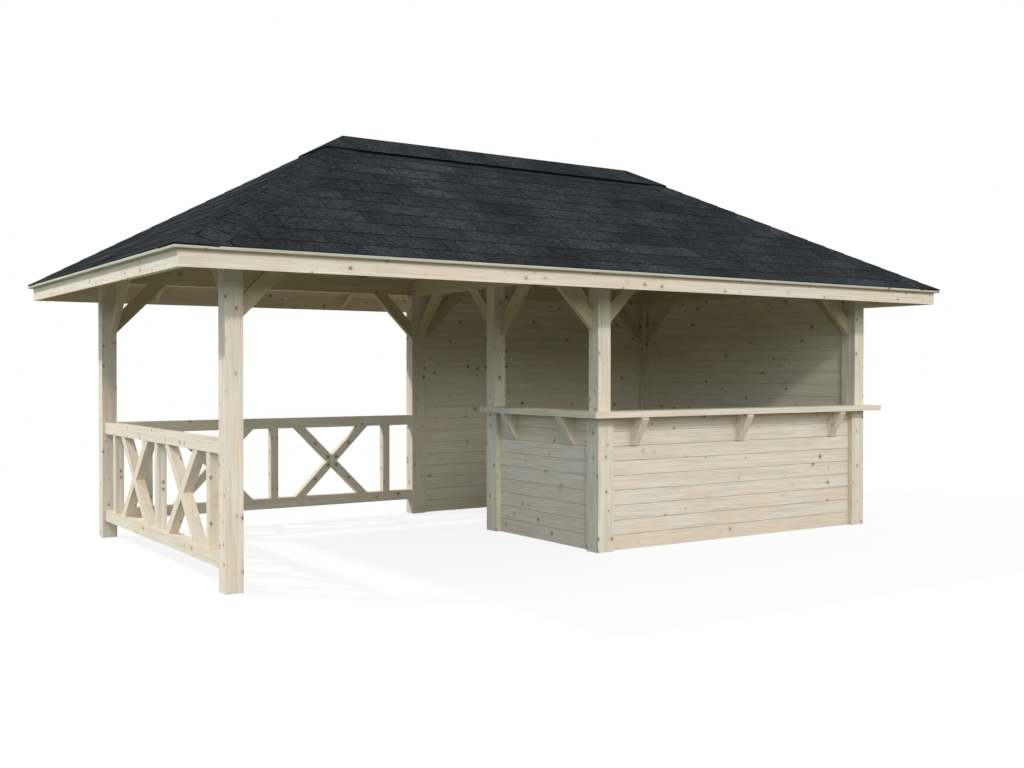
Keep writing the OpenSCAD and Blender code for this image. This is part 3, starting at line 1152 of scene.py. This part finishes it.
@dataclass
class Studio:
    """Floor, light and camera."""

    camera_place: Triple = (-5.568, -8.590, 1.4175)
    camera_turn: Triple = (math.radians(90.0 - 0.67), 0.0, math.radians(-33.75))
    lens: float = 40.48
    sensor: float = 36.0
    farthest: float = 200.0
    floor_reach: float = 40.0
    floor_sides: int = 96
    floor_drop: float = 0.001
    floor_matt: Colour = (0.158, 0.170, 0.144)
    floor_pale: Colour = (0.9, 0.9, 0.9)
    floor_grit: Mottle = Mottle(40.0, 2.0, (0.8, 1.2))
    floor_fade: Span = (4.0, 9.0)
    floor_glow: Span = (0.85, 1.0)
    floor_roughness: float = 0.9
    white: Colour = (1.0, 1.0, 1.0)
    sky_front: float = 1.72
    sky_left: float = 1.2
    sky_rest: float = 1.2
    sky_high: float = 0.87
    sky_foot: Span = (0.02, 0.16)
    sky_head: Span = (0.60, 0.30)
    left_head: Span = (0.42, 0.20)
    left_tint: Colour = (0.5, 1.05, 1.52)
    lamps: tuple[Softbox, ...] = (
        Softbox("front_softbox", 0.0, 31.3, 0.30, 42.0, 3.0, (0.93, 0.99, 1.10)),
        Softbox("key_softbox", -26.5, 28.2, 0.13, 1.6, 1.6),
        Softbox("left_softbox", -129.6, 39.0, 0.79, 1.6, 1.6, (1.0, 0.965, 0.955)))

    def build(self) -> None:
        """Sets up the floor, the lights, the camera and the view."""
        self.lay_floor()
        self.light()
        for lamp in self.lamps:
            lamp.hang()
        camera = bpy.data.cameras.new("photo_view")
        camera.lens = self.lens
        camera.sensor_width = self.sensor
        camera.clip_end = self.farthest
        holder = bpy.data.objects.new("photo_view", camera)
        holder.location = self.camera_place
        holder.rotation_euler = self.camera_turn
        bpy.context.scene.collection.objects.link(holder)
        bpy.context.scene.camera = holder
        bpy.context.scene.view_settings.view_transform = "Standard"

    def lay_floor(self) -> None:
        """Lays a round pale floor that keeps a light shadow and fades into white."""
        turns = [k * math.tau / self.floor_sides for k in range(self.floor_sides)]
        reach = self.floor_reach
        mesh = bpy.data.meshes.new("floor")
        mesh.from_pydata(
            [(reach * math.cos(turn), reach * math.sin(turn), 0.0) for turn in turns], [],
            [list(range(self.floor_sides))])
        floor = bpy.data.objects.new("floor", mesh)
        floor.location.z = -self.floor_drop
        bpy.context.scene.collection.objects.link(floor)
        mesh.materials.append(self.floor_material())

    def floor_material(self) -> bpy.types.Material:
        """Makes the floor's finish, matt for the light and near white for the eye.

        Returns:
            The material.
        """
        desk = MaterialDesk("pale_floor")
        place = desk.put("TexCoord").outputs["Object"]
        distance = desk.put("VectorMath", {0: place}, operation="LENGTH").outputs["Value"]
        seen = desk.seen()
        grit = desk.between(self.floor_grit.read(desk, place), self.floor_grit.shades)
        matt = desk.dimmed(self.floor_matt, grit)
        desk.dress(desk.blend(seen, matt, self.floor_pale), self.floor_roughness, 0.0)
        white = desk.between(desk.ease(distance, *self.floor_fade), self.floor_glow)
        glow = desk.put("Emission", {"Color": self.white, "Strength": 1.0})
        share = desk.calc("MULTIPLY", seen, white)
        mix = desk.put("MixShader", {0: share, 1: desk.shader.outputs[0], 2: glow.outputs[0]})
        desk.feed(desk.tree.nodes["Material Output"].inputs["Surface"], mix.outputs[0])
        return desk.material

    def light(self) -> None:
        """Lights the gazebo by a pale sky, brightest in a band over the ground, shown white."""
        world = bpy.context.scene.world or bpy.data.worlds.new("sky")
        bpy.context.scene.world = world
        world.use_nodes = True
        desk = NodeDesk(world.node_tree)
        desk.tree.nodes.clear()
        place = desk.put("TexCoord").outputs["Generated"]
        x, y, z = desk.put("SeparateXYZ", {0: place}).outputs
        foot = desk.ease(z, *self.sky_foot)
        band, left_band = (
            desk.calc("MULTIPLY", foot, desk.ease(z, *head))
            for head in (self.sky_head, self.left_head))
        front, left = (
            desk.calc("MAXIMUM", desk.calc("MULTIPLY", side, -1.0), 0.0) for side in (y, x))
        rest = desk.calc("ADD", desk.calc("MAXIMUM", x, 0.0), desk.calc("MAXIMUM", y, 0.0))
        around = desk.calc(
            "MULTIPLY_ADD", front, self.sky_front, desk.calc("MULTIPLY", rest, self.sky_rest))
        overhead = desk.calc("MULTIPLY", desk.calc("MAXIMUM", z, 0.0), self.sky_high)
        level = desk.calc("MULTIPLY_ADD", around, band, overhead)
        left_level = desk.calc("MULTIPLY", desk.calc("MULTIPLY", left, left_band), self.sky_left)
        plain = desk.put("Background", {"Color": self.white, "Strength": level})
        blue = desk.put("Background", {"Color": self.left_tint, "Strength": left_level})
        sky = desk.put("AddShader", {0: plain.outputs[0], 1: blue.outputs[0]})
        white = desk.put("Background", {"Color": self.white, "Strength": 1.0})
        mix = desk.put("MixShader", {0: desk.seen(), 1: sky.outputs[0], 2: white.outputs[0]})
        desk.put("OutputWorld", {"Surface": mix.outputs[0]})


def main() -> None:
    """Builds and dresses the gazebo, then sets up the studio."""
    logging.basicConfig(level=logging.INFO, format="%(message)s")
    timber = SpruceFinish("spruce_frame", knot_cells=14.0, knot_share=0.7)
    counter = SpruceFinish("spruce_counter")
    boards = SpruceFinish("spruce_boards")
    # Paler copy of the spruce for the back and right walls: painted light in the shade inside the
    # bar.
    inner = SpruceFinish(
        "spruce_inner_lightened", (0.825, 0.75, 0.585), (0.685, 0.59, 0.425), (0.81, 0.685, 0.495))
    # Darker, warmer copy of the spruce for the timbers under the roof and the deck: painted shade.
    roof = SpruceFinish(
        "spruce_roof_shaded", (0.63, 0.55, 0.36), (0.51, 0.425, 0.255), (0.61, 0.495, 0.30))
    edge = SpruceFinish(
        "spruce_edge", (0.50, 0.485, 0.42), (0.43, 0.405, 0.335), (0.49, 0.455, 0.375))
    TimberFrame(timber, counter, roof).dress()
    near, far, inside = POST_HALF, BAY - POST_HALF, HALF_BAY - POST_HALF
    walls = [
        BoardWall("wall_back", (near, HALF_BAY), (far, HALF_BAY), WALL_HEIGHT, inner, 1),
        BoardWall("wall_right", (BAY, -inside), (BAY, inside), WALL_HEIGHT, inner, 2),
        BoardWall("bar_wall_front", (near, -HALF_BAY), (far, -HALF_BAY), BAR_HEIGHT, boards, 21484),
        BoardWall("bar_wall_side", (0.0, -inside), (0.0, -near), BAR_HEIGHT, boards, 4)]
    for wall in walls:
        wall.build()
    RoofDeck(roof, edge).build()
    ShingleRoof(ShingleFinish("shingle")).build()
    Studio().build()


if __name__ == "__main__":
    main()
